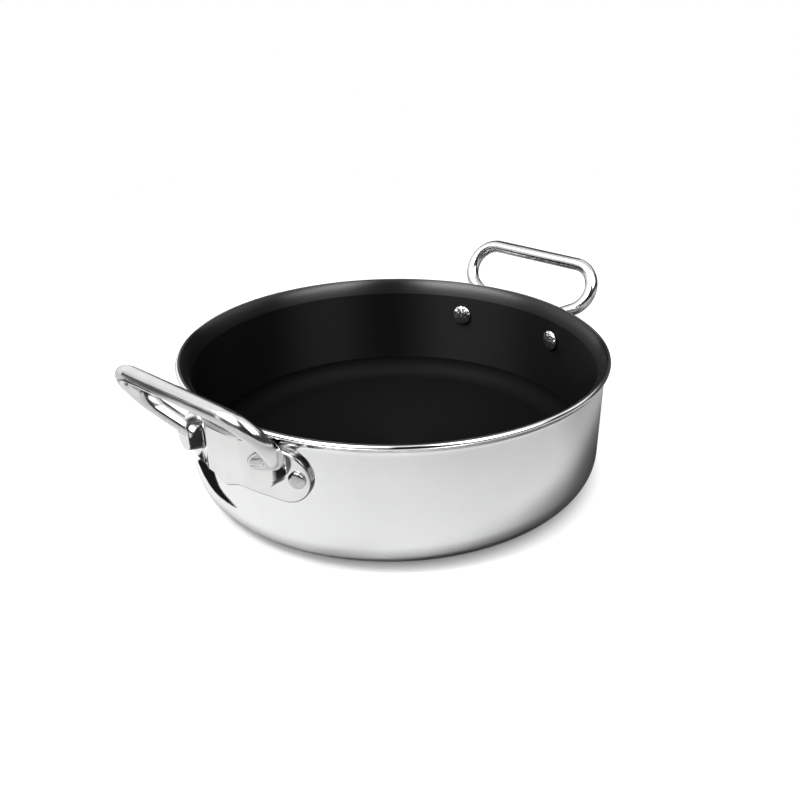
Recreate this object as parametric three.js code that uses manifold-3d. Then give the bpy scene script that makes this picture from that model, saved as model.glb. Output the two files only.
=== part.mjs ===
// Braiser: a low, wide aluminium pan with a black non-stick lining and a flared pouring lip.
// Two polished tube handles stand on cast brackets, each held to the wall by two solid rivets.
// Millimetres, +Z up. The pan stands on z = 0, its axis is the Z axis, and the handles lie along X.

import * as THREE from 'three';
import { mergeVertices } from 'three/addons/utils/BufferGeometryUtils.js';
import Module from 'manifold-3d';

const wasm = await Module();
wasm.setup();

const { degToRad, smoothstep } = THREE.MathUtils;

// Pan: a turned aluminium shell
const WALL_RADIUS = 139.5;        // outside of the upright wall
const POT_HEIGHT = 87;
const WALL_THICKNESS = 4;
const BASE_THICKNESS = 5;
const BASE_CORNER = 20;           // outside radius where wall and base meet
const LIP_OVERHANG = 3.5;         // how far the lip stands out past the wall
const LIP_EDGE = 2.9;             // height of the bright turned edge
const LIP_CHAMFER = 0.5;
const LIP_LAND = 0.8;             // bare metal left on top of the lip
const FLARE_RADIUS = 12;          // inside curve from the wall out to the lip

// Lining: the non-stick coat, from the base up to the bare edge of the lip
const LINING_THICKNESS = 0.5;
const LINING_CLEARANCE = 0.3;

// Bracket: two round lobes and a raised saddle between them, curved to the wall
const BRACKET_DROP = 25.7;        // rim down to the line through both rivets
const LOBE_RADIUS = 16.3;
const LOBE_DROP = 0.9;            // rivet line down to the middle of the lobes
const RIVET_SPACING = 92;         // between the two rivets, along the wall
const RIVET_EDGE = 7.4;           // rivet axis to the end of its lobe
const FLANGE_THICKNESS = 3.2;
const WAIST_RISE = 2.6;           // lower outline drawn up between the lobes
const HEAD_MARGIN = 1.4;          // foot of a saddle end wall to the rivet head beside it
const SADDLE_RISE = 7;            // saddle face over flange face
const SADDLE_END_SLOPE = 4;       // length of each end wall
const SADDLE_SHOULDER = 4.9;      // top of the saddle over the top of the lobes
const SADDLE_FOOT = 12;           // rivet line down to where the face meets the flange
const SADDLE_FADE = 15;           // height over which the face rises from the flange
const SOCKET_RADIUS = 8.4;        // round foot of the socket for each tube end
const SOCKET_RISE = 3;            // socket over saddle face
const SOCKET_HEIGHT = 1;          // middle of that round foot over the rivet line
const BRACKET_EDGE = 1.1;         // broken edge all round
const BRACKET_CLEARANCE = 0.3;    // bracket to wall

// Handle: one bent tube, its ends let into the saddle
const TUBE_DIAMETER = 10;
const TUBE_WALL = 1.2;
const HANDLE_TILT = degToRad(58.7);   // plane of the loop over the horizontal
const LEG_LEAN = degToRad(60);        // leg out from the centre line of the loop
const LEG_LENGTH = 24;
const BEND_RADIUS = 19.3;
const TUBE_END_SPACING = 52;
const TUBE_END_STANDOFF = 8.1;    // tube axis off the wall at its end
const TUBE_END_RISE = 8.8;        // tube axis over the rivet line at its end
const SEAT_CLEARANCE = 0.3;       // tube to its seat

// Rivets: low domed heads outside, wider set heads inside
const SHANK_RADIUS = 3;
const HEAD_RADIUS = 5.1;
const HEAD_HEIGHT = 2.4;
const SET_HEAD_RADIUS = 7.6;
const SET_HEAD_HEIGHT = 3;
const HEAD_RIM = 0.6;             // upright edge under each dome
const RIVET_CLEARANCE = 0.3;
const SET_HEAD_CLEARANCE = 0.6;   // a flat head meets the hollow side of the wall by its edge

// Facets
const POT_SEGMENTS = 64;
const ARC_STEPS = 5;
const BRACKET_COLUMNS = 28;       // between the lobe centres
const LOBE_COLUMNS = 8;
const LOBE_TURN = degToRad(84);   // the last sliver of each lobe ends flat
const BRACKET_ROWS = 10;
const TUBE_STEPS = 36;
const TUBE_SIDES = 10;
const RIVET_SEGMENTS = 16;

const polishedAluminium = new THREE.MeshStandardMaterial({ color: 0xd9dadb, roughness: 0.14, metalness: 1 });
const nonStick = new THREE.MeshStandardMaterial({ color: 0x141414, roughness: 0.42, metalness: 0 });
const polishedSteel = new THREE.MeshStandardMaterial({ color: 0xcfd0d1, roughness: 0.16, metalness: 1 });
const rivetMetal = new THREE.MeshStandardMaterial({ color: 0xc4c5c7, roughness: 0.28, metalness: 1 });

// Sizes that several pieces share
const innerRadius = WALL_RADIUS - WALL_THICKNESS;
const lipRadius = WALL_RADIUS + LIP_OVERHANG;
const liningBuild = LINING_CLEARANCE + LINING_THICKNESS;
const liningFace = innerRadius - liningBuild;
const bracketInside = WALL_RADIUS + BRACKET_CLEARANCE;
const flangeFace = bracketInside + FLANGE_THICKNESS;
const rivetHeight = POT_HEIGHT - BRACKET_DROP;
const rivetAngle = RIVET_SPACING / 2 / bracketInside;
const tubeRadius = TUBE_DIAMETER / 2;

// Closed solids and booleans

// A closed geometry with shared vertices, no collapsed faces and its faces turned outward.
function weld(geometry) {
  const bare = geometry.clone();
  bare.deleteAttribute('normal');
  bare.deleteAttribute('uv');
  const merged = mergeVertices(bare, 1e-4);
  const position = merged.getAttribute('position');
  const index = merged.getIndex().array;
  const corner = [new THREE.Vector3(), new THREE.Vector3(), new THREE.Vector3()];
  const faces = [];
  let volume = 0;
  for (let i = 0; i < index.length; i += 3) {
    const face = [index[i], index[i + 1], index[i + 2]];
    if (new Set(face).size < 3) continue;
    face.forEach((vertex, k) => corner[k].fromBufferAttribute(position, vertex));
    volume += corner[0].dot(corner[1].cross(corner[2]));
    faces.push(...face);
  }
  merged.setIndex(volume < 0 ? faces.reverse() : faces);
  return merged;
}

function toSolid(geometry) {
  const welded = weld(geometry);
  return new wasm.Manifold(new wasm.Mesh({
    numProp: 3,
    vertProperties: new Float32Array(welded.getAttribute('position').array),
    triVerts: new Uint32Array(welded.getIndex().array),
  }));
}

function toGeometry(solid) {
  const mesh = solid.getMesh();
  const geometry = new THREE.BufferGeometry();
  geometry.setAttribute('position', new THREE.BufferAttribute(new Float32Array(mesh.vertProperties), 3));
  geometry.setIndex(new THREE.BufferAttribute(new Uint32Array(mesh.triVerts), 1));
  geometry.computeVertexNormals();
  return geometry;
}

function cut(geometry, cutters) {
  return toGeometry(cutters.reduce((solid, cutter) => solid.subtract(toSolid(cutter)), toSolid(geometry)));
}

function named(name, geometry, material) {
  const mesh = new THREE.Mesh(geometry, material);
  mesh.name = name;
  return mesh;
}

// Turned pieces: profiles run radius against height

function arc(x, y, radius, from, to, steps = ARC_STEPS) {
  return Array.from({ length: steps + 1 }, (_, i) => {
    const angle = from + (to - from) * i / steps;
    return new THREE.Vector2(x + radius * Math.cos(angle), y + radius * Math.sin(angle));
  });
}

function turned(profile, segments) {
  return new THREE.LatheGeometry(profile, segments).rotateX(Math.PI / 2);
}

// The flare is an arc that leaves the wall upright and stops at the bare land on the lip.
const landRadius = lipRadius - LIP_CHAMFER - LIP_LAND;
const flareEnd = Math.acos((landRadius - innerRadius) / FLARE_RADIUS - 1);
const flareCentreHeight = POT_HEIGHT - liningBuild - FLARE_RADIUS * Math.sin(flareEnd);

// Under the lip the wall turns out through a hollow, parallel to the flare where it ends.
const lipUnderside = POT_HEIGHT - LIP_EDGE;
const hollowRadius = (LIP_OVERHANG - LIP_CHAMFER) / (1 + Math.cos(flareEnd));
const hollowHeight = lipUnderside - hollowRadius * Math.sin(flareEnd);

// The inside of the pan from the middle of the base up to the lip, moved in by an offset.
function insideProfile(offset) {
  const corner = BASE_CORNER - WALL_THICKNESS;
  return [
    new THREE.Vector2(0, BASE_THICKNESS + offset),
    ...arc(innerRadius - corner, BASE_THICKNESS + corner, corner - offset, -Math.PI / 2, 0),
    ...arc(innerRadius + FLARE_RADIUS, flareCentreHeight, FLARE_RADIUS + offset, Math.PI, flareEnd),
  ];
}

function potProfile() {
  return [
    new THREE.Vector2(0, 0),
    ...arc(WALL_RADIUS - BASE_CORNER, BASE_CORNER, BASE_CORNER, -Math.PI / 2, 0),
    ...arc(WALL_RADIUS + hollowRadius, hollowHeight, hollowRadius, Math.PI, flareEnd, ARC_STEPS - 2),
    new THREE.Vector2(lipRadius, lipUnderside + LIP_CHAMFER),
    new THREE.Vector2(lipRadius, POT_HEIGHT - LIP_CHAMFER),
    new THREE.Vector2(lipRadius - LIP_CHAMFER, POT_HEIGHT),
    new THREE.Vector2(landRadius + LINING_CLEARANCE, POT_HEIGHT),
    ...insideProfile(0).reverse(),
  ];
}

function liningProfile() {
  return [...insideProfile(LINING_CLEARANCE), ...insideProfile(liningBuild).reverse()];
}

// Rivets: profiles run along the rivet axis, which points straight out from the axis of the pan

function dome(radius, seat, height) {
  const rim = seat + HEAD_RIM * Math.sign(height);
  const crown = height - HEAD_RIM * Math.sign(height);
  return [
    new THREE.Vector2(radius, seat),
    ...arc(0, 0, 1, 0, Math.PI / 2, ARC_STEPS - 2)
      .map((point) => new THREE.Vector2(radius * Math.max(0, point.x), rim + crown * point.y)),
  ];
}

function rivetGeometry() {
  const setSeat = liningFace - SET_HEAD_CLEARANCE;
  const headSeat = flangeFace + RIVET_CLEARANCE;
  return turned([
    ...dome(SET_HEAD_RADIUS, setSeat, -SET_HEAD_HEIGHT).reverse(),
    new THREE.Vector2(SHANK_RADIUS, setSeat),
    new THREE.Vector2(SHANK_RADIUS, headSeat),
    ...dome(HEAD_RADIUS, headSeat, HEAD_HEIGHT),
  ], RIVET_SEGMENTS);
}

// Lays a piece made along Z straight out from the axis of the pan, at an angle round it.
function radial(object, angle) {
  object.rotation.set(0, Math.PI / 2, angle, 'ZYX');
  object.position.z = rivetHeight;
  object.updateMatrix();
  return object;
}

const rivetAngles = [-rivetAngle, rivetAngle];

// Drills for one side of the pan, long enough for the wall, the lining and the bracket.
function rivetDrills(turn) {
  const reach = SADDLE_RISE + SOCKET_RISE + FLANGE_THICKNESS + WALL_THICKNESS;
  const bore = SHANK_RADIUS + RIVET_CLEARANCE;
  return rivetAngles.map((angle) => {
    const drill = new THREE.CylinderGeometry(bore, bore, 2 * reach, RIVET_SEGMENTS)
      .rotateX(Math.PI / 2).translate(0, 0, WALL_RADIUS);
    return drill.applyMatrix4(radial(new THREE.Object3D(), turn + angle).matrix);
  });
}

// Handle: the loop is drawn flat, across and up, from one tube end to the other

function loopPath(extra) {
  const lean = new THREE.Vector2(Math.sin(LEG_LEAN), Math.cos(LEG_LEAN));
  const end = new THREE.Vector2(TUBE_END_SPACING / 2, 0);
  const bendStart = end.clone().addScaledVector(lean, LEG_LENGTH);
  const start = end.clone().addScaledVector(lean, -extra);
  const bendX = bendStart.x - BEND_RADIUS * Math.cos(LEG_LEAN);
  const bendY = bendStart.y + BEND_RADIUS * Math.sin(LEG_LEAN);
  const path = new THREE.Path();
  path.moveTo(start.x, start.y);
  path.lineTo(bendStart.x, bendStart.y);
  path.absarc(bendX, bendY, BEND_RADIUS, -LEG_LEAN, Math.PI / 2, false);
  path.lineTo(-bendX, bendY + BEND_RADIUS);
  path.absarc(-bendX, bendY, BEND_RADIUS, Math.PI / 2, Math.PI + LEG_LEAN, false);
  path.lineTo(-start.x, start.y);
  return path;
}

// The flat loop as a curve in space: across is Y and up is Z.
class LoopCurve extends THREE.Curve {
  constructor(extra) {
    super();
    this.path = loopPath(extra);
  }

  getPoint(t, target = new THREE.Vector3()) {
    const point = this.path.getPointAt(t);
    return target.set(0, point.x, point.y);
  }
}

function ring(radius) {
  return new THREE.Path(arc(0, 0, radius, 0, 2 * Math.PI, TUBE_SIDES).slice(0, -1));
}

function loopGeometry(radius, bore, extra) {
  const section = new THREE.Shape(ring(radius).getPoints());
  if (bore > 0) section.holes.push(ring(bore));
  return new THREE.ExtrudeGeometry(section, {
    steps: TUBE_STEPS,
    curveSegments: 1,
    bevelEnabled: false,
    extrudePath: new LoopCurve(extra),
  });
}

// Stands a loop in its tilted plane, its ends off the wall.
function standLoop(object) {
  const endRadius = WALL_RADIUS + TUBE_END_STANDOFF;
  object.rotation.y = Math.PI / 2 - HANDLE_TILT;
  object.position.set(
    Math.sqrt(endRadius ** 2 - (TUBE_END_SPACING / 2) ** 2),
    0,
    rivetHeight + TUBE_END_RISE,
  );
  object.updateMatrix();
  return object;
}

// Bracket: lofted along the wall, heights over the rivet line

const lobeCentre = RIVET_SPACING / 2 + RIVET_EDGE - LOBE_RADIUS;
const saddleHalf = RIVET_SPACING / 2 - HEAD_RADIUS - HEAD_MARGIN;
const socketCentre = saddleHalf - SOCKET_RADIUS;

function bracketOutline(along) {
  const far = Math.abs(along);
  const lobe = Math.sqrt(LOBE_RADIUS ** 2 - Math.max(0, far - lobeCentre) ** 2);
  const waist = WAIST_RISE * (1 + Math.cos(Math.PI * Math.min(1, far / lobeCentre))) / 2;
  const shoulder = SADDLE_SHOULDER * (1 - smoothstep(far, saddleHalf - 2 * SADDLE_END_SLOPE, saddleHalf));
  return { low: waist - lobe - LOBE_DROP, high: lobe + shoulder - LOBE_DROP };
}

// The saddle face fades into the flange below, and a socket with a round foot stands over each end.
function bracketThickness(along, height) {
  const far = Math.abs(along);
  const end = 1 - smoothstep(far, saddleHalf - SADDLE_END_SLOPE, saddleHalf);
  const face = SADDLE_RISE * end * smoothstep(height, -SADDLE_FOOT, SADDLE_FADE - SADDLE_FOOT);
  const offset = Math.hypot(far - socketCentre, Math.min(0, height - SOCKET_HEIGHT));
  const socket = 1 - smoothstep(offset, SOCKET_RADIUS - SADDLE_END_SLOPE, SOCKET_RADIUS);
  return FLANGE_THICKNESS + Math.max(face, (SADDLE_RISE + SOCKET_RISE) * socket);
}

// The back lies on the wall, and leans away from it where the wall turns out to the lip.
const backTurn = hollowHeight - BRACKET_CLEARANCE - rivetHeight;
const backLean = LIP_OVERHANG / (lipUnderside - hollowHeight);

// One section across the bracket: over its face from low to high, then down its back.
function bracketSection(along) {
  const { low, high } = bracketOutline(along);
  const angle = along / bracketInside;
  const edge = Math.min(BRACKET_EDGE, (high - low) / 4);
  const place = (height, thickness) => {
    const radius = bracketInside + thickness;
    return new THREE.Vector3(radius * Math.cos(angle), radius * Math.sin(angle), rivetHeight + height);
  };
  const face = Array.from({ length: BRACKET_ROWS + 1 }, (_, i) => {
    const height = THREE.MathUtils.lerp(low + edge, high - edge, i / BRACKET_ROWS);
    return place(height, bracketThickness(along, height));
  });
  return [
    place(low, 0),
    place(low, bracketThickness(along, low) - edge),
    ...face,
    place(high, bracketThickness(along, high) - edge),
    place(high, backLean * Math.max(0, high - backTurn)),
    place(Math.min(high, backTurn), 0),
  ];
}

// A closed loft through sections with equal numbers of points.
function loft(sections) {
  const count = sections[0].length;
  const faces = [];
  sections.slice(1).forEach((_, s) => {
    for (let i = 0; i < count; i++) {
      const [a, b] = [s * count + i, s * count + (i + 1) % count];
      faces.push(a, b, a + count, b, b + count, a + count);
    }
  });
  const last = (sections.length - 1) * count;
  for (let i = 1; i < count - 1; i++) {
    faces.push(0, i + 1, i, last, last + i, last + i + 1);
  }
  return new THREE.BufferGeometry().setFromPoints(sections.flat()).setIndex(faces);
}

function bracketGeometry() {
  const lobe = Array.from({ length: LOBE_COLUMNS }, (_, i) => {
    return lobeCentre + LOBE_RADIUS * Math.sin(LOBE_TURN * (i + 1) / LOBE_COLUMNS);
  });
  const middle = Array.from({ length: BRACKET_COLUMNS + 1 }, (_, i) => (
    lobeCentre * (2 * i / BRACKET_COLUMNS - 1)
  ));
  const columns = [...lobe.map((along) => -along).reverse(), ...middle, ...lobe];
  const seat = loopGeometry(tubeRadius + SEAT_CLEARANCE, 0, SEAT_CLEARANCE);
  seat.applyMatrix4(standLoop(new THREE.Object3D()).matrix);
  return cut(loft(columns.map(bracketSection)), [seat, ...rivetDrills(0)]);
}

// Assembly

const braiser = new THREE.Group();

const sides = [
  { name: 'right', turn: 0 },
  { name: 'left', turn: Math.PI },
];
const drills = sides.flatMap(({ turn }) => rivetDrills(turn));
braiser.add(named('pot_body', cut(turned(potProfile(), POT_SEGMENTS), drills), polishedAluminium));
braiser.add(named('nonstick_lining', cut(turned(liningProfile(), POT_SEGMENTS), drills), nonStick));

for (const { name, turn } of sides) {
  const side = new THREE.Group();
  side.rotation.z = turn;
  side.add(named(`${name}_bracket`, bracketGeometry(), polishedSteel));
  const tube = loopGeometry(tubeRadius, tubeRadius - TUBE_WALL, 0);
  side.add(standLoop(named(`${name}_handle_tube`, weld(tube), polishedSteel)));
  rivetAngles.forEach((angle, i) => {
    side.add(radial(named(`${name}_rivet_${i + 1}`, weld(rivetGeometry()), rivetMetal), angle));
  });
  braiser.add(side);
}

export default braiser;
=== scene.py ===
# Braiser: a low, wide aluminium pan, mirror polished outside and black non-stick inside,
# with two bent tube handles. The sections follow the pan as it is put together. Metres, +Z up.

import math

import bmesh
import bpy
import numpy as np
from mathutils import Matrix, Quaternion, Vector


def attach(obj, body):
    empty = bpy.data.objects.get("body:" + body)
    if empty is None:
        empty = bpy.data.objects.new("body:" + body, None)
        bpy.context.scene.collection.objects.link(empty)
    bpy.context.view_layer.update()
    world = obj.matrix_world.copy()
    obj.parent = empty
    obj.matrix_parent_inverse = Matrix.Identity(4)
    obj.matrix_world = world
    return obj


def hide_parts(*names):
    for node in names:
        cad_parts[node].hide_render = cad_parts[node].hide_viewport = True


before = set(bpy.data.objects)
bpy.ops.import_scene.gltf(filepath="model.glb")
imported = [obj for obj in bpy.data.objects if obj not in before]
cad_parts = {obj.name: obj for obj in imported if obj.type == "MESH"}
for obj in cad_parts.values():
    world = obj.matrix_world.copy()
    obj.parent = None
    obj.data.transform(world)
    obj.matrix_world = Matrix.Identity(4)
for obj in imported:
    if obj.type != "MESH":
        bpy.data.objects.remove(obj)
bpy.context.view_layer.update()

# Pan shell
# A heavy disc of aluminium, spun to a straight wall with a round base corner and a flared lip,
# then turned on the lip and buffed to a mirror on the outside.

wall_radius = 0.1395
pan_height = 0.087
wall_thickness = 0.004
base_thickness = 0.005
base_corner = 0.020
lip_overhang = 0.0035
lip_edge = 0.0029
lip_chamfer = 0.0005
lip_land = 0.0016
lip_turn = 0.0018
lip_bevel = math.radians(60)
land_flat = 0.0003
flare_radius = 0.012
coat_thickness = 0.0008
profile_spacing = 0.003
shell_sides = 288

inner_radius = wall_radius - wall_thickness
lip_radius = wall_radius + lip_overhang
land_radius = lip_radius - lip_chamfer - lip_land
flare_end = math.acos((land_radius - inner_radius) / flare_radius - 1)
flare_height = pan_height - coat_thickness - flare_radius * math.sin(flare_end)
lip_underside = pan_height - lip_edge
hollow_radius = (lip_overhang - lip_chamfer) / (1 + math.cos(flare_end))
hollow_height = lip_underside - hollow_radius * math.sin(flare_end)
lip_round = lip_chamfer / (1 + math.cos(flare_end))
bevel_width = lip_chamfer + lip_land - lip_turn * (1 - math.cos(lip_bevel))
bevel_foot = pan_height - bevel_width / math.tan(lip_bevel)


def arc(x, z, radius, start, end, steps):
    turns = [start + (end - start) * i / steps for i in range(steps + 1)]
    return [(x + radius * math.cos(t), z + radius * math.sin(t)) for t in turns]


def inside_profile(offset):
    """The inside of the pan from the middle of the base up to the lip, moved in by an offset."""
    corner = base_corner - wall_thickness
    return [
        (0, base_thickness + offset),
        *arc(inner_radius - corner, base_thickness + corner, corner - offset,
             -math.pi / 2, 0, steps=20),
        *arc(inner_radius + flare_radius, flare_height, flare_radius + offset,
             math.pi, flare_end, steps=20),
    ]


def with_loops(profile, spacing):
    """Splits long straight runs of a profile, so that the mirror finish stays even over them."""
    points = [profile[0]]
    for (x0, z0), (x1, z1) in zip(profile, profile[1:]):
        runs = max(1, math.ceil(math.hypot(x1 - x0, z1 - z0) / spacing))
        shares = [i / runs for i in range(1, runs + 1)]
        points += [(x0 + (x1 - x0) * share, z0 + (z1 - z0) * share) for share in shares]
    return points


def as_piece(name, mesh):
    """Puts a finished working mesh into the scene as an object."""
    data = bpy.data.meshes.new(name)
    mesh.to_mesh(data)
    mesh.free()
    piece = bpy.data.objects.new(name, data)
    bpy.context.scene.collection.objects.link(piece)
    return piece


def turned(name, profile, sides):
    """A profile of radius against height, turned round the axis, with UV round it and along it."""
    mesh = bmesh.new()
    ends = [abs(x) < 1e-9 for x, z in profile]
    rings = []
    for (x, z), on_axis in zip(profile, ends):
        if on_axis:
            rings.append([mesh.verts.new((0, 0, z))] * sides)
            continue
        turns = [2 * math.pi * i / sides for i in range(sides)]
        rings.append([mesh.verts.new((x * math.cos(t), x * math.sin(t), z)) for t in turns])
    run = [0.0]
    for (x0, z0), (x1, z1) in zip(profile, profile[1:]):
        run.append(run[-1] + math.hypot(x1 - x0, z1 - z0))
    closed = not (ends[0] and ends[-1])
    run.append(run[-1])
    layer = mesh.loops.layers.uv.new("turning")
    for i in range(len(rings) if closed else len(rings) - 1):
        low, high = rings[i], rings[(i + 1) % len(rings)]
        for j in range(sides):
            k = (j + 1) % sides
            corners = [(low[j], j, i), (low[k], j + 1, i)]
            corners += [(high[k], j + 1, i + 1), (high[j], j, i + 1)]
            if low[j] == low[k]:
                corners = [corners[0], corners[2], corners[3]]
            elif high[j] == high[k]:
                corners = corners[:3]
            face = mesh.faces.new([corner[0] for corner in corners])
            face.smooth = True
            for loop, corner in zip(face.loops, corners):
                loop[layer].uv = (corner[1] / sides, run[corner[2]])
    bmesh.ops.recalc_face_normals(mesh, faces=mesh.faces)
    return as_piece(name, mesh)


def fill(node, *values, **inputs):
    """Feeds a node's inputs, in their order or by name, from other sockets or plain values."""
    shown = [socket for socket in node.inputs if socket.enabled]
    named = [(node.inputs[key.replace("_", " ")], value) for key, value in inputs.items()]
    for socket, value in [*zip(shown, values), *named]:
        if isinstance(value, bpy.types.NodeSocket):
            node.id_data.links.new(value, socket)
        else:
            socket.default_value = value


def node_adder(tree):
    """A function that makes a node in a tree, with its settings and its inputs."""
    def add(kind, settings=None, *values, **inputs):
        node = tree.nodes.new(kind)
        for key, value in (settings or {}).items():
            setattr(node, key, value)
        fill(node, *values, **inputs)
        return node

    return add


def new_finish(name):
    """An empty material, and the function that adds nodes to it."""
    finish = bpy.data.materials.new(name)
    finish.use_nodes = True
    finish.node_tree.nodes.clear()
    return finish, node_adder(finish.node_tree)


def two_tone(add, value, first, second, start=0.3, end=0.75):
    """A colour that runs from one tone to another as a value runs from start to end."""
    ramp = add("ShaderNodeValToRGB", Fac=value)
    for i, (position, colour) in enumerate(((start, first), (end, second))):
        ramp.color_ramp.elements[i].position = position
        ramp.color_ramp.elements[i].color = (*colour, 1)
    return ramp.outputs["Color"]


def bare_metal(add, tone, gloss, grain):
    """Ends a finish as bare metal of a tone, a gloss and a grain."""
    shader = add("ShaderNodeBsdfPrincipled", Base_Color=tone, Metallic=1.0,
                 Roughness=gloss, Normal=grain)
    add("ShaderNodeOutputMaterial", Surface=shader.outputs["BSDF"])


pan_profile = with_loops([
    (0, 0),
    *arc(wall_radius - base_corner, base_corner, base_corner, -math.pi / 2, 0, steps=28),
    *arc(wall_radius + hollow_radius, hollow_height, hollow_radius, math.pi, flare_end, steps=14),
    *arc(lip_radius - lip_round, lip_underside + lip_round * math.sin(flare_end), lip_round,
         flare_end - math.pi, 0, steps=6),
    *arc(lip_radius - lip_turn, bevel_foot - lip_turn * math.sin(lip_bevel), lip_turn,
         0, lip_bevel, steps=12),
    (land_radius + land_flat, pan_height),
    *reversed(inside_profile(0)),
], profile_spacing)
pan_shell = turned("pan_shell", pan_profile, shell_sides)

polished_aluminium, add = new_finish("polished_aluminium")
place = add("ShaderNodeTexCoord").outputs["Object"]
turning = add("ShaderNodeUVMap", {"uv_map": "turning"}).outputs["UV"]
lines = add("ShaderNodeMapping", Vector=turning, Scale=(6, 9000, 1)).outputs["Vector"]
buffing = add("ShaderNodeTexNoise", Vector=lines, Scale=1.0, Detail=3.0).outputs["Fac"]
haze = add("ShaderNodeTexNoise", Vector=place, Scale=22.0, Detail=4.0).outputs["Fac"]
tone = two_tone(add, haze, (0.80, 0.805, 0.81), (0.86, 0.863, 0.865))
gloss = add("ShaderNodeMapRange", Value=buffing, To_Min=0.03, To_Max=0.075).outputs["Result"]
grain = add("ShaderNodeBump", Strength=0.012, Distance=0.0002, Height=buffing).outputs["Normal"]
bare_metal(add, tone, gloss, grain)
pan_shell.data.materials.append(polished_aluminium)

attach(pan_shell, "root")
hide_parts("pot_body")

# Non-stick coat
# A black fluoropolymer coat, sprayed and baked on the blasted inside of the pan,
# from the base up over the flare to the bare turned land of the lip.

coat_seat = 0.00005
coat_sides = 256
corner_rise = 0.0145
coat_tone = (0.003, 0.0029, 0.0029)
fleck_tone = (0.008, 0.008, 0.008)

coat_profile = [*inside_profile(coat_seat), *reversed(inside_profile(coat_thickness))]
nonstick_coat = turned("nonstick_coat", with_loops(coat_profile, profile_spacing), coat_sides)


def maths(add, operation, *values):
    return add("ShaderNodeMath", {"operation": operation}, *values).outputs["Value"]


def eased(add, value, start, end, low=0.0, high=1.0):
    """A number that eases from low to high as a value runs from start to end."""
    return add("ShaderNodeMapRange", {"interpolation_type": "SMOOTHSTEP"}, Value=value,
               From_Min=start, From_Max=end, To_Min=low, To_Max=high).outputs["Result"]


def coat_finish(name, foot_gloss, top_gloss, index, brushed):
    """The coat's black with its flecks, and a gloss that changes up the flare to the lip."""
    finish, add = new_finish(name)
    place = add("ShaderNodeTexCoord").outputs["Object"]
    peel = add("ShaderNodeTexNoise", Vector=place, Scale=900.0, Detail=2.0).outputs["Fac"]
    cloud = add("ShaderNodeTexNoise", Vector=place, Scale=14.0, Detail=3.0).outputs["Fac"]
    flecks = add("ShaderNodeTexVoronoi", Vector=place, Scale=1400.0).outputs["Distance"]
    tone = two_tone(add, flecks, fleck_tone, coat_tone, start=0.02, end=0.12)
    height = add("ShaderNodeSeparateXYZ", Vector=place).outputs["Z"]
    rising = eased(add, height, flare_height, pan_height, foot_gloss, top_gloss)
    patches = add("ShaderNodeMapRange", Value=cloud, To_Min=-0.04, To_Max=0.04).outputs["Result"]
    gloss = maths(add, "ADD", rising, patches)
    sweep = add("ShaderNodeTangent", {"direction_type": "UV_MAP", "uv_map": "turning"})
    skin = add("ShaderNodeBump", Strength=0.05, Distance=0.0003, Height=peel).outputs["Normal"]
    shader = add("ShaderNodeBsdfPrincipled", Base_Color=tone, Roughness=gloss, IOR=index,
                 Anisotropic=brushed, Anisotropic_Rotation=0.25,
                 Tangent=sweep.outputs["Tangent"], Normal=skin)
    add("ShaderNodeOutputMaterial", Surface=shader.outputs["BSDF"])
    return finish


# The coat is dullest on the base and glossiest over the flare.
for finish in (
    coat_finish("nonstick_base", foot_gloss=0.58, top_gloss=0.58, index=1.17, brushed=0.4),
    coat_finish("nonstick_wall", foot_gloss=0.58, top_gloss=0.58, index=1.28, brushed=0.95),
    coat_finish("nonstick_flare", foot_gloss=0.54, top_gloss=0.24, index=1.55, brushed=0.95),
):
    nonstick_coat.data.materials.append(finish)
wall_foot = base_thickness + corner_rise
for face in nonstick_coat.data.polygons:
    face.material_index = int(face.center.z > wall_foot) + int(face.center.z > flare_height)

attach(nonstick_coat, "root")
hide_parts("nonstick_lining")

# Brackets
# Two stainless castings, curved to the wall and held by two rivets each, polished on the face and
# left rougher as cast on flanks and edges, which also carry painted shade. A round lobe at each end
# lies flat for its rivet, and the raised saddle between the lobes carries two sockets for the ends
# of the tube.

bracket_drop = 0.0257
lobe_radius = 0.0163
lobe_drop = 0.0006
rivet_spacing = 0.092
rivet_edge = 0.0074
flange_thickness = 0.0032
waist_rise = 0.0050
waist_place = 0.0125
waist_width = 0.0105
head_radius = 0.0051
head_margin = 0.0014
saddle_rise = 0.0048
saddle_end_slope = 0.010
saddle_flat = 0.013
saddle_end = 0.029
saddle_shoulder = 0.0042
socket_radius = 0.00875
socket_rise = 0.010
socket_slope = 0.0018
socket_height = 0.0036
socket_top = 0.0095
bracket_edge = 0.0018
bracket_gap = 0.0003
crease_angle = math.radians(50)

# Painted shade: flanks, edges and the lower seam are darkened towards this near-black tone, and
# they are also rougher, as cast.
painted_shade_tone = (0.03, 0.03, 0.03, 1)
as_cast_gloss = 0.32
flank_slopes = (1.5, 3.5)
lower_edge_shade_width = (0.0005, 0.0018)
edge_band_width = (0.0003, 0.0010)
edge_band_share = 0.6
back_share = 0.35

lobe_columns = 40
saddle_columns = 281
face_rows = 111
slope_step = 0.0002

bracket_inside = wall_radius + bracket_gap
flange_face = bracket_inside + flange_thickness
rivet_height = pan_height - bracket_drop
rivet_angle = rivet_spacing / 2 / bracket_inside
lobe_centre = rivet_spacing / 2 + rivet_edge - lobe_radius
saddle_half = rivet_spacing / 2 - head_radius - head_margin
socket_centre = saddle_half - socket_radius
back_turn = hollow_height - bracket_gap - rivet_height
back_lean = lip_overhang / (lip_underside - hollow_height)


def smooth(value, low, high):
    share = np.clip((value - low) / (high - low), 0, 1)
    return share * share * (3 - 2 * share)


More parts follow.
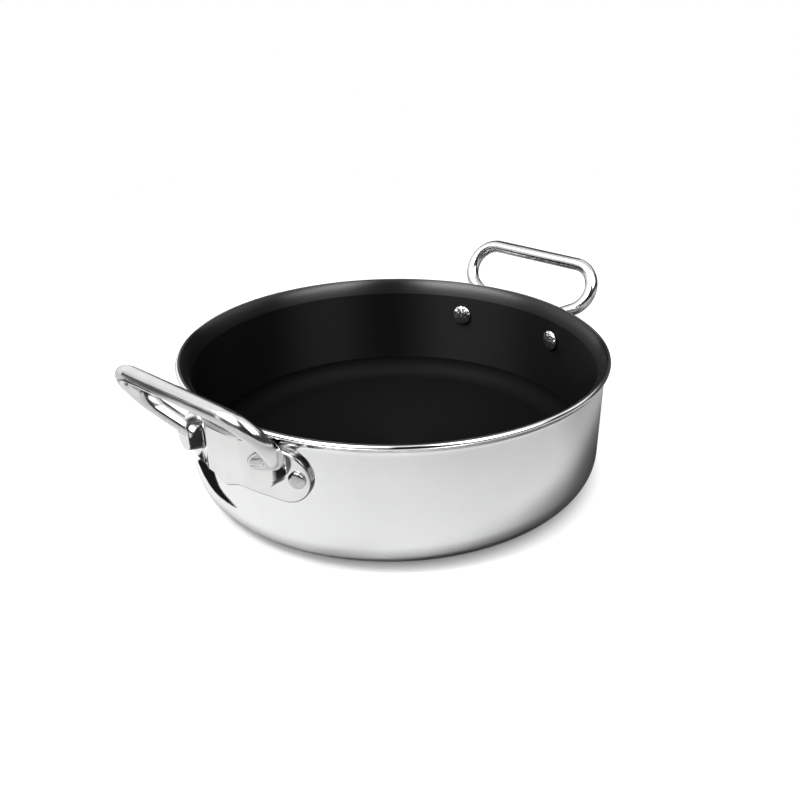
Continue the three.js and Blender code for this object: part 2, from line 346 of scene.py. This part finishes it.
def bracket_outline(along):
    """The lower and upper edge of the flange, measured from the rivets, at places along it."""
    far = np.abs(along)
    lobe = np.sqrt(np.maximum(0, lobe_radius**2 - np.maximum(0, far - lobe_centre)**2))
    waist = waist_rise * np.exp(-(((far - waist_place) / waist_width) ** 2))
    shoulder = saddle_shoulder * (1 - smooth(far, saddle_half - saddle_end_slope, saddle_half))
    return waist * (lobe > 0) - lobe - lobe_drop, lobe + shoulder - lobe_drop


def bracket_thickness(along, height):
    """How far the casting stands off the wall: flange, saddle and the two sockets."""
    far = np.abs(along)
    face = saddle_rise * (1 - smooth(far, saddle_flat, saddle_end))
    past = np.minimum(0, height - socket_height) + np.maximum(0, height - socket_top)
    offset = np.hypot(far - socket_centre, past)
    socket = 1 - smooth(offset, socket_radius - socket_slope, socket_radius)
    return flange_thickness + np.maximum(face, socket_rise * socket)


def bracket(name, turn):
    """One casting bent round the wall, with each place's share of cast finish and painted shade."""
    lobe_turns = np.radians(np.linspace(0, 90, lobe_columns + 1)[1:])
    lobe = lobe_centre + lobe_radius * np.sin(lobe_turns)
    middle = np.linspace(-lobe_centre, lobe_centre, saddle_columns)
    along = np.concatenate([-lobe[::-1], middle, lobe])
    low, high = bracket_outline(along)
    edge_steps = 0.5 - 0.5 * np.cos(np.linspace(0, np.pi, face_rows))
    heights = low[:, None] + (high - low)[:, None] * edge_steps[None, :]
    spread = np.repeat(along[:, None], heights.shape[1], axis=1)
    rim = np.concatenate([np.stack([along, low], 1), np.stack([along, high], 1)])
    inset = np.empty_like(heights)
    for column in range(len(along)):
        gap = np.stack([spread[column], heights[column]], 1)[:, None, :] - rim[None]
        inset[column] = np.sqrt((gap**2).sum(-1)).min(1)
    short = 1 - np.minimum(1, inset / bracket_edge)
    depth = bracket_thickness(spread, heights) - bracket_edge * (1 - np.sqrt(1 - short**2))
    ahead = bracket_thickness(spread + slope_step, heights)
    behind = bracket_thickness(spread - slope_step, heights)
    # Painted shade on steep flanks, along the lower edge, in a band round the outline and a little
    # on the back. These places are also rougher, as cast.
    flanks = smooth(np.abs(ahead - behind) / slope_step / 2, *flank_slopes)
    lower_edge_shade = 1 - smooth(heights - low[:, None], *lower_edge_shade_width)
    edge_band = edge_band_share * (1 - smooth(inset, *edge_band_width))
    shade_and_cast_share = np.maximum(flanks, np.maximum(lower_edge_shade, edge_band))
    mesh = bmesh.new()
    as_cast = mesh.verts.layers.float.new("as_cast")

    def spot(s, height, thickness, share=back_share):
        radius = bracket_inside + thickness
        angle = s / bracket_inside + turn
        x, y = radius * math.cos(angle), radius * math.sin(angle)
        vertex = mesh.verts.new((x, y, rivet_height + height))
        vertex[as_cast] = share
        return vertex

    sections = []
    for s, row, thick, shade_and_cast, bottom, top in zip(along, heights, depth, shade_and_cast_share, low, high):
        section = [spot(s, bottom, 0, share=1.0)]
        section += [spot(s, *values) for values in zip(row, thick, shade_and_cast)]
        section.append(spot(s, top, back_lean * max(0, top - back_turn)))
        section.append(spot(s, min(top, back_turn), 0))
        sections.append(section)
    for first, second in zip(sections, sections[1:]):
        for i in range(len(first)):
            k = (i + 1) % len(first)
            mesh.faces.new((first[i], first[k], second[k], second[i])).smooth = True
    bmesh.ops.remove_doubles(mesh, verts=mesh.verts, dist=1e-6)
    bmesh.ops.dissolve_degenerate(mesh, edges=mesh.edges, dist=1e-7)
    bmesh.ops.holes_fill(mesh, edges=[e for e in mesh.edges if e.is_boundary], sides=0)
    bmesh.ops.recalc_face_normals(mesh, faces=mesh.faces)
    piece = as_piece(name, mesh)
    piece.data.set_sharp_from_angle(angle=crease_angle)
    return piece


def mixed(add, kind, share, first, second):
    """Two numbers or two colours mixed by a share. The node shows one output for each kind."""
    node = add("ShaderNodeMix", {"data_type": kind}, share, first, second)
    return next(socket for socket in node.outputs if socket.enabled)


polished_steel, add = new_finish("polished_steel")
place = add("ShaderNodeTexCoord").outputs["Object"]
strokes = add("ShaderNodeMapping", Vector=place, Scale=(120, 120, 1400)).outputs["Vector"]
buffing = add("ShaderNodeTexNoise", Vector=strokes, Scale=1.0, Detail=3.0).outputs["Fac"]
haze = add("ShaderNodeTexNoise", Vector=place, Scale=60.0, Detail=4.0).outputs["Fac"]
buffed_tone = two_tone(add, haze, (0.77, 0.77, 0.765), (0.84, 0.84, 0.835))
buffed_gloss = add("ShaderNodeMapRange", Value=buffing, To_Min=0.05, To_Max=0.12).outputs["Result"]
# The share of painted shade and rougher cast finish, carried on the casting's vertices.
shade_and_cast = add("ShaderNodeAttribute", {"attribute_name": "as_cast"}).outputs["Fac"]
tone = mixed(add, "RGBA", shade_and_cast, buffed_tone, painted_shade_tone)
gloss = mixed(add, "FLOAT", shade_and_cast, buffed_gloss, as_cast_gloss)
grain = add("ShaderNodeBump", Strength=0.03, Distance=0.0002, Height=haze).outputs["Normal"]
bare_metal(add, tone, gloss, grain)

for side, turn in (("right", 0.0), ("left", math.pi)):
    casting = bracket(f"bracket_{side}", turn)
    casting.data.materials.append(polished_steel)
    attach(casting, "root")
    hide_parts(f"{side}_bracket")

# Handles
# One stainless tube for each side, bent to a flat loop, polished along its length and let into
# the two sockets of its bracket. The loop leans out over the wall.

tube_radius = 0.00486
tube_sides = 48
handle_tilt = math.radians(58.7)
leg_lean = math.radians(60)
leg_length = 0.024
leg_runs = 18
bend_radius = 0.0193
bar_runs = 12
tube_end_spacing = 0.052
tube_end_standoff = 0.0081
tube_end_rise = 0.0088
tube_let_in = 0.0005


def loop_points():
    """The centre line of the loop, drawn flat across and up, from one tube end to the other."""
    out, rise = math.sin(leg_lean), math.cos(leg_lean)
    end_x = tube_end_spacing / 2
    turn_x, turn_y = end_x + leg_length * out, leg_length * rise
    bend_x, bend_y = turn_x - bend_radius * rise, turn_y + bend_radius * out
    leg = [-tube_let_in + (leg_length + tube_let_in) * i / leg_runs for i in range(leg_runs)]
    half = [(end_x + run * out, run * rise) for run in leg]
    half += arc(bend_x, bend_y, bend_radius, -leg_lean, math.pi / 2, steps=48)
    bar = [(bend_x * (1 - i / bar_runs), bend_y + bend_radius) for i in range(1, bar_runs + 1)]
    right = half + bar
    return right + [(-x, y) for x, y in reversed(right[:-1])]


def bent_tube_tree(finish):
    """Nodes that sweep a round tube along a line and keep the place along it and around it."""
    tree = bpy.data.node_groups.new("bent_tube", "GeometryNodeTree")
    for name, kind, direction in (
        ("Centre line", "NodeSocketGeometry", "INPUT"),
        ("Tube radius", "NodeSocketFloat", "INPUT"),
        ("Sides", "NodeSocketInt", "INPUT"),
        ("Tube", "NodeSocketGeometry", "OUTPUT"),
    ):
        tree.interface.new_socket(name, in_out=direction, socket_type=kind)
    add = node_adder(tree)
    given = add("NodeGroupInput").outputs
    line = add("GeometryNodeCaptureAttribute", {"domain": "POINT"})
    line.capture_items.new("FLOAT", "Along")
    along = add("GeometryNodeSplineParameter").outputs["Length"]
    fill(line, Geometry=given["Centre line"], Along=along)
    circle = add("GeometryNodeCurvePrimitiveCircle", Radius=given["Tube radius"],
                 Resolution=given["Sides"])
    ring = add("GeometryNodeCaptureAttribute", {"domain": "POINT"})
    ring.capture_items.new("FLOAT", "Around")
    around = add("GeometryNodeSplineParameter").outputs["Factor"]
    fill(ring, Geometry=circle.outputs["Curve"], Around=around)
    sweep = add("GeometryNodeCurveToMesh", Curve=line.outputs["Geometry"],
                Profile_Curve=ring.outputs["Geometry"], Fill_Caps=True)
    keep_along = add("GeometryNodeStoreNamedAttribute", {"domain": "POINT"}, Name="tube_along",
                     Geometry=sweep.outputs["Mesh"], Value=line.outputs["Along"])
    keep_around = add("GeometryNodeStoreNamedAttribute", {"domain": "POINT"}, Name="tube_around",
                      Geometry=keep_along.outputs["Geometry"], Value=ring.outputs["Around"])
    soften = add("GeometryNodeSetShadeSmooth", Geometry=keep_around.outputs["Geometry"])
    realize = add("GeometryNodeRealizeInstances", Geometry=soften.outputs["Geometry"])
    dress = add("GeometryNodeSetMaterial", Geometry=realize.outputs["Geometry"], Material=finish)
    add("NodeGroupOutput", Tube=dress.outputs["Geometry"])
    return tree


def run_tree(carrier, tree, name, **inputs):
    """Runs a node tree on a carrier object and keeps the result as a plain mesh."""
    modifier = carrier.modifiers.new(name, "NODES")
    modifier.node_group = tree
    for item in tree.interface.items_tree:
        key = item.name.lower().replace(" ", "_")
        if item.in_out == "INPUT" and key in inputs:
            modifier[item.identifier] = inputs[key]
    bpy.context.view_layer.update()
    evaluated = carrier.evaluated_get(bpy.context.evaluated_depsgraph_get())
    data = bpy.data.meshes.new_from_object(evaluated)
    data.name = name
    carrier.modifiers.remove(modifier)
    bpy.data.objects.remove(carrier)
    piece = bpy.data.objects.new(name, data)
    bpy.context.scene.collection.objects.link(piece)
    return piece


def handle(name, turn, tree):
    """One loop, tilted out from its two sockets and turned to its side of the pan."""
    end_radius = wall_radius + tube_end_standoff
    foot_x = math.sqrt(end_radius**2 - (tube_end_spacing / 2) ** 2)
    foot_z = rivet_height + tube_end_rise
    line = bpy.data.curves.new(name + "_line", "CURVE")
    line.dimensions = "3D"
    spline = line.splines.new("POLY")
    points = loop_points()
    spline.points.add(len(points) - 1)
    for point, (across, up) in zip(spline.points, points):
        x = foot_x + up * math.cos(handle_tilt)
        z = foot_z + up * math.sin(handle_tilt)
        point.co = (
            x * math.cos(turn) - across * math.sin(turn),
            x * math.sin(turn) + across * math.cos(turn),
            z,
            1,
        )
    carrier = bpy.data.objects.new(name + "_line", line)
    bpy.context.scene.collection.objects.link(carrier)
    return run_tree(carrier, tree, name, tube_radius=tube_radius, sides=tube_sides)


polished_tube, add = new_finish("polished_tube")
place = add("ShaderNodeTexCoord").outputs["Object"]
along = add("ShaderNodeAttribute", {"attribute_name": "tube_along"}).outputs["Fac"]
around = add("ShaderNodeAttribute", {"attribute_name": "tube_around"}).outputs["Fac"]
full_turn = maths(add, "MULTIPLY", around, 2 * math.pi)
strokes = add("ShaderNodeCombineXYZ", X=maths(add, "COSINE", full_turn),
              Y=maths(add, "SINE", full_turn), Z=along).outputs["Vector"]
broad = add("ShaderNodeMapping", Vector=strokes, Scale=(3, 3, 9)).outputs["Vector"]
fine = add("ShaderNodeMapping", Vector=strokes, Scale=(11, 11, 24)).outputs["Vector"]
broad_lines = add("ShaderNodeTexNoise", Vector=broad, Scale=1.0, Detail=3.0).outputs["Fac"]
fine_lines = add("ShaderNodeTexNoise", Vector=fine, Scale=1.0, Detail=3.0).outputs["Fac"]
buffing = maths(add, "ADD", broad_lines, fine_lines)
haze = add("ShaderNodeTexNoise", Vector=place, Scale=70.0, Detail=4.0).outputs["Fac"]
tone = two_tone(add, haze, (0.63, 0.63, 0.63), (0.70, 0.70, 0.695))
gloss = add("ShaderNodeMapRange", Value=fine_lines, To_Min=0.08, To_Max=0.16).outputs["Result"]
grain = add("ShaderNodeBump", Strength=0.4, Distance=0.0002, Height=buffing).outputs["Normal"]
bare_metal(add, tone, gloss, grain)

bent_tube = bent_tube_tree(polished_tube)
for side, turn in (("right", 0.0), ("left", math.pi)):
    loop = handle(f"handle_{side}", turn, bent_tube)
    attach(loop, "root")
    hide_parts(f"{side}_handle_tube")

# Rivets
# Four solid aluminium rivets, driven through bracket, wall and coat. Low domes stand outside,
# and wider domes were hammered over the coat inside.

shank_radius = 0.003
head_height = 0.0024
set_head_radius = 0.0076
set_head_height = 0.003
head_rim = 0.0006
head_gap = 0.0003
set_head_gap = 0.0006
rim_taper = 0.0002
rim_taper_share = 0.4
rivet_sides = 40

hammered_tone = (0.84, 0.84, 0.84, 1)
hammered_gloss = 0.22


def dome(radius, seat, height):
    """The profile of a head from its rim to its crown. A height below zero points inwards."""
    rim = math.copysign(head_rim, height)
    crown = height - rim
    points = [(radius - rim_taper, seat), (radius, seat + rim * rim_taper_share)]
    quarter = arc(0, 0, 1, 0, math.pi / 2, steps=14)
    return points + [(max(0, radius * c), seat + rim + crown * s) for c, s in quarter]


set_seat = inner_radius - coat_thickness - set_head_gap
head_seat = flange_face + head_gap
rivet_profile = [
    *reversed(dome(set_head_radius, set_seat, -set_head_height)),
    (shank_radius, set_seat),
    (shank_radius, head_seat),
    *dome(head_radius, head_seat, head_height),
]


def rivets_tree(finish):
    """Nodes that set two rivets on each side of the pan, half an angle either way of its handle."""
    tree = bpy.data.node_groups.new("rivet_pattern", "GeometryNodeTree")
    for name, kind, direction in (
        ("Rivet", "NodeSocketGeometry", "INPUT"),
        ("Count", "NodeSocketInt", "INPUT"),
        ("Half angle", "NodeSocketFloat", "INPUT"),
        ("Rivets", "NodeSocketGeometry", "OUTPUT"),
    ):
        tree.interface.new_socket(name, in_out=direction, socket_type=kind)
    add = node_adder(tree)
    given = add("NodeGroupInput").outputs
    number = add("GeometryNodeInputIndex").outputs["Index"]
    side = maths(add, "FLOOR", maths(add, "DIVIDE", number, 2.0))
    side_turn = maths(add, "MULTIPLY", side, math.pi)
    twice = maths(add, "MULTIPLY", maths(add, "MODULO", number, 2.0), 2.0)
    pair_sign = maths(add, "SUBTRACT", twice, 1.0)
    pair_turn = maths(add, "MULTIPLY", pair_sign, given["Half angle"])
    turn = add("ShaderNodeCombineXYZ", Z=maths(add, "ADD", side_turn, pair_turn))
    spots = add("GeometryNodePoints", Count=given["Count"])
    copies = add("GeometryNodeInstanceOnPoints", Points=spots.outputs["Points"],
                 Instance=given["Rivet"], Rotation=turn.outputs["Vector"])
    realize = add("GeometryNodeRealizeInstances", Geometry=copies.outputs["Instances"])
    dress = add("GeometryNodeSetMaterial", Geometry=realize.outputs["Geometry"], Material=finish)
    add("NodeGroupOutput", Rivets=dress.outputs["Geometry"])
    return tree


rivet_metal, add = new_finish("rivet_metal")
place = add("ShaderNodeTexCoord").outputs["Object"]
hammering = add("ShaderNodeTexNoise", Vector=place, Scale=420.0, Detail=3.0).outputs["Fac"]
# Painted shade: the outer heads take a darker tone than the inner heads of the same metal, and the
# hammering noise varies it at random.
shaded_head_tone = two_tone(add, hammering, (0.48, 0.48, 0.48), (0.62, 0.62, 0.62))
head_gloss = add("ShaderNodeMapRange", Value=hammering, To_Min=0.16, To_Max=0.30).outputs["Result"]
flat_place = add("ShaderNodeVectorMath", {"operation": "MULTIPLY"}, place, (1, 1, 0))
axis_distance = add("ShaderNodeVectorMath", {"operation": "LENGTH"}, flat_place.outputs["Vector"])
inside = add("ShaderNodeMapRange", Value=axis_distance.outputs["Value"], To_Min=1.0, To_Max=0.0,
             From_Min=inner_radius - coat_thickness, From_Max=inner_radius).outputs["Result"]
dents = add("ShaderNodeMapRange", Value=inside, To_Min=0.03, To_Max=1.0).outputs["Result"]
grain = add("ShaderNodeBump", Strength=dents, Distance=0.0012, Height=hammering).outputs["Normal"]
tone = mixed(add, "RGBA", inside, shaded_head_tone, hammered_tone)
gloss = mixed(add, "FLOAT", inside, head_gloss, hammered_gloss)
bare_metal(add, tone, gloss, grain)

one_rivet = turned("one_rivet", rivet_profile, rivet_sides)
for vertex in one_rivet.data.vertices:
    x, y, z = vertex.co
    vertex.co = (z, y, rivet_height - x)
rivets = run_tree(one_rivet, rivets_tree(rivet_metal), "rivets", count=4, half_angle=rivet_angle)
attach(rivets, "root")
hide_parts("right_rivet_1", "right_rivet_2", "left_rivet_1", "left_rivet_2")

# Studio
# A light floor that keeps the shadow, in a white room, with one high soft box on the left and one
# overhead. The floor's colour also carries painted shadow round the pan and a painted fall of light
# away from it, and a glow seen only by the camera whitens it except next to the pan. Cards round
# the table and dark sheets of painted shade on it, seen only in the polish, give the metal its dark
# and light bands.

floor_radius = 1.2
floor_drop = 0.0002
floor_sides = 64
shadow_azimuth = -35
dim_azimuth = -10
sheet_height = 0.0005


def way_to(azimuth, elevation):
    """A direction from the middle of the table, given in degrees."""
    a, e = math.radians(azimuth), math.radians(elevation)
    return Vector((math.cos(e) * math.cos(a), math.cos(e) * math.sin(a), math.sin(e)))


floor_turns = [2 * math.pi * i / floor_sides for i in range(floor_sides)]
floor_data = bpy.data.meshes.new("floor")
floor_data.from_pydata(
    [(floor_radius * math.cos(t), floor_radius * math.sin(t), -floor_drop) for t in floor_turns],
    [],
    [range(floor_sides)],
)
floor = bpy.data.objects.new("floor", floor_data)
bpy.context.scene.collection.objects.link(floor)

pale_floor, add = new_finish("pale_floor")
place = add("ShaderNodeTexCoord").outputs["Object"]
reach = add("ShaderNodeVectorMath", {"operation": "LENGTH"}, place).outputs["Value"]
heading = add("ShaderNodeVectorMath", {"operation": "NORMALIZE"}, place).outputs["Vector"]
shadow_side = add("ShaderNodeVectorMath", {"operation": "DOT_PRODUCT"}, heading,
                  way_to(shadow_azimuth, 0)).outputs["Value"]
right_side = add("ShaderNodeVectorMath", {"operation": "DOT_PRODUCT"}, heading,
                 way_to(dim_azimuth, 0)).outputs["Value"]
# Painted light and shade in the floor's colour: a fall of light away from the pan, a painted
# contact shadow that reaches further out on the shadow side, and painted shadow off to the right.
painted_falloff = add("ShaderNodeMapRange", Value=reach, From_Min=0.15, From_Max=0.32,
           To_Min=0.9, To_Max=0.64).outputs["Result"]
spread = eased(add, shadow_side, start=-0.6, end=0.6, low=-0.01, high=0.022)
shaded_reach = maths(add, "SUBTRACT", reach, spread)
painted_contact_shadow = eased(add, shaded_reach, start=0.122, end=0.17, low=0.36, high=1.0)
painted_side_shadow = eased(add, right_side, start=0.4, end=0.75, low=1.0, high=0.72)
shade = maths(add, "MULTIPLY", maths(add, "MULTIPLY", painted_falloff, painted_contact_shadow), painted_side_shadow)
shader = add("ShaderNodeBsdfPrincipled", Base_Color=shade, Roughness=0.9, Specular_IOR_Level=0.0)
# A glow seen only by the camera whitens the floor, weaker next to the pan so that the shadow stays
# there.
bright = eased(add, reach, start=0.122, end=0.147, low=0.15, high=0.97)
camera_ray = add("ShaderNodeLightPath").outputs["Is Camera Ray"]
glow = add("ShaderNodeEmission", Strength=maths(add, "MULTIPLY", camera_ray, bright))
lit = add("ShaderNodeAddShader", None, shader.outputs["BSDF"], glow.outputs["Emission"])
clear = add("ShaderNodeBsdfTransparent")
fade = eased(add, reach, start=0.45, end=0.95)
surface = add("ShaderNodeMixShader", None, fade, lit.outputs["Shader"], clear.outputs["BSDF"])
add("ShaderNodeOutputMaterial", Surface=surface.outputs["Shader"])
floor.data.materials.append(pale_floor)

world = bpy.data.worlds.new("white_room")
bpy.context.scene.world = world
world.use_nodes = True
world.node_tree.nodes.clear()
add = node_adder(world.node_tree)
room_light = add("ShaderNodeBackground", Color=(1, 1, 1, 1), Strength=0.2)
room_white = add("ShaderNodeBackground", Color=(1, 1, 1, 1), Strength=1.0)
path = add("ShaderNodeLightPath").outputs
seen = maths(add, "MAXIMUM", path["Is Camera Ray"], path["Is Glossy Ray"])
shown = maths(add, "MAXIMUM", seen, path["Is Transmission Ray"])
first_seen = maths(add, "LESS_THAN", path["Diffuse Depth"], 0.5)
choose = add("ShaderNodeMixShader", None, maths(add, "MULTIPLY", shown, first_seen),
             room_light.outputs["Background"], room_white.outputs["Background"])
add("ShaderNodeOutputWorld", Surface=choose.outputs["Shader"])


def soft_box(name, azimuth, elevation, distance, size, power):
    light = bpy.data.lights.new(name, "AREA")
    light.shape = "RECTANGLE"
    light.size = size
    light.size_y = size
    light.energy = power
    lamp = bpy.data.objects.new(name, light)
    bpy.context.scene.collection.objects.link(lamp)
    way = way_to(azimuth, elevation)
    lamp.location = way * distance
    lamp.rotation_mode = "QUATERNION"
    lamp.rotation_quaternion = way.to_track_quat("Z", "Y")
    lamp.visible_glossy = False


soft_box("key_box", azimuth=160, elevation=60, distance=1.1, size=0.4, power=11)
soft_box("top_box", azimuth=-120, elevation=82, distance=2.2, size=1.4, power=4)


def glow_finish(name, tone, strength, soft):
    """A card that glows evenly and fades out over a share of its width at each edge."""
    finish, add = new_finish(name)
    spread = add("ShaderNodeUVMap", {"uv_map": "spread"}).outputs["UV"]
    spread = add("ShaderNodeSeparateXYZ", Vector=spread).outputs
    across = eased(add, maths(add, "PINGPONG", spread["X"], 0.5), start=0.0, end=soft)
    upward = eased(add, maths(add, "PINGPONG", spread["Y"], 0.5), start=0.0, end=soft)
    depth = add("ShaderNodeLightPath").outputs["Diffuse Depth"]
    first_seen = maths(add, "LESS_THAN", depth, 0.5)
    shown = maths(add, "MULTIPLY", maths(add, "MULTIPLY", across, upward), first_seen)
    clear = add("ShaderNodeBsdfTransparent").outputs["BSDF"]
    glow = add("ShaderNodeEmission", Color=(tone, tone, tone, 1), Strength=strength)
    blend = add("ShaderNodeMixShader", None, shown, clear, glow.outputs["Emission"])
    add("ShaderNodeOutputMaterial", Surface=blend.outputs["Shader"])
    return finish


def stand_in(name, rows, tone, strength, soft):
    """A sheet through rows of points, with UV over its spread, seen only in reflections."""
    mesh = bmesh.new()
    layer = mesh.loops.layers.uv.new("spread")
    grid = []
    for i, row in enumerate(rows):
        shares = [(i / (len(rows) - 1), k / (len(row) - 1)) for k in range(len(row))]
        grid.append([(mesh.verts.new(point), share) for point, share in zip(row, shares)])
    for first, second in zip(grid, grid[1:]):
        for k in range(len(first) - 1):
            corners = (first[k], first[k + 1], second[k + 1], second[k])
            face = mesh.faces.new([vertex for vertex, share in corners])
            for loop, (vertex, share) in zip(face.loops, corners):
                loop[layer].uv = share
    sheet = as_piece(name, mesh)
    sheet.data.materials.append(glow_finish(name, tone, strength, soft))
    sheet.visible_camera = False
    sheet.visible_diffuse = False
    sheet.visible_transmission = False
    sheet.visible_shadow = False


def card(name, distance, azimuths, elevations, tone, strength, soft):
    """A curved card round the table, between two azimuths and two elevations."""
    steps = 24
    rows = []
    for azimuth in np.linspace(*azimuths, steps + 1):
        heights = np.linspace(*elevations, steps + 1)
        rows.append([way_to(azimuth, elevation) * distance for elevation in heights])
    stand_in(name, rows, tone, strength, soft)


card("dark_horizon", 1.6, (118, 142), (-8, 19), tone=0.1, strength=1.0, soft=0.12)
card("dark_side", 1.7, (145, 335), (2, 46), tone=0.05, strength=1.0, soft=0.08)
card("dark_gap", 1.6, (-146, -113), (0, 80), tone=0.02, strength=1.0, soft=0.12)
card("left_card", 1.5, (-240, -150), (32, 84), tone=1.0, strength=9.0, soft=0.2)
card("right_card", 1.5, (-108, -50), (32, 84), tone=1.0, strength=7.5, soft=0.2)
card("dark_back", 1.6, (-40, 66), (-12, 34), tone=0.06, strength=1.0, soft=0.1)
card("dark_upper", 1.6, (22, 66), (28, 56), tone=0.06, strength=1.0, soft=0.1)
card("back_card", 1.5, (60, 122), (12, 60), tone=1.0, strength=1.15, soft=0.15)


def flag(name, near_edge, far_edge, tone, soft):
    """A dark sheet of painted shade lying on the table between two edges, seen only in reflections.
    """
    rows = [[(x, y, sheet_height) for x, y in pair] for pair in zip(near_edge, far_edge)]
    stand_in(name, rows, tone, 1.0, soft)


# Painted shadow on the table at the back left of the pan, seen only in reflections.
flag("black_cloth",
     [(-0.1582, 0.036), (-0.1514, 0.050), (-0.1408, 0.070),
      (-0.1332, 0.0835), (-0.1236, 0.0975), (-0.1116, 0.111)],
     [(-0.1586, 0.036), (-0.1568, 0.050), (-0.1522, 0.070),
      (-0.1514, 0.0835), (-0.152, 0.099), (-0.1535, 0.130)],
     tone=0.01, soft=0.02)
flag("black_strip",
     [(-0.12, 0.185), (-0.178, 0.175), (-0.19, 0.146), (-0.225, 0.15), (-0.26, 0.178)],
     [(-0.10, 0.215), (-0.17, 0.21), (-0.20, 0.215), (-0.235, 0.225), (-0.27, 0.245)],
     tone=0.01, soft=0.2)
flag("grey_strip",
     [(-0.26, 0.178), (-0.32, 0.215), (-0.43, 0.315), (-0.68, 0.58), (-1.15, 1.13)],
     [(-0.25, 0.25), (-0.31, 0.29), (-0.40, 0.385), (-0.58, 0.655), (-0.95, 1.27)],
     tone=0.1, soft=0.2)

# Painted shade on the far side of the table, seen only in reflections.
far_shade_near = 0.33
far_shade_far = 1.1
far_ways = [way_to(azimuth, 0) for azimuth in range(-20, 101, 15)]
flag("far_cloth",
     [(far_shade_near * way.x, far_shade_near * way.y) for way in far_ways],
     [(far_shade_far * way.x, far_shade_far * way.y) for way in far_ways],
     tone=0.08, soft=0.15)

# Camera
# A slightly wide lens above the rim, set to the photograph's viewing angle and framing.

lens = bpy.data.cameras.new("camera")
lens.sensor_width = 36.0
lens.lens = 36.33
lens.shift_x = -0.1125
lens.shift_y = 0.0191
camera = bpy.data.objects.new("camera", lens)
bpy.context.scene.collection.objects.link(camera)
camera.location = (-0.38047, -0.34186, 0.29496)
camera_aim = Vector((0.09105, -0.01380, 0.0))
camera_roll = math.radians(2.11)
camera.rotation_mode = "QUATERNION"
look = (camera_aim - camera.location).to_track_quat("-Z", "Y")
camera.rotation_quaternion = look @ Quaternion((0, 0, 1), camera_roll)
bpy.context.scene.camera = camera
bpy.context.scene.view_settings.view_transform = "Standard"
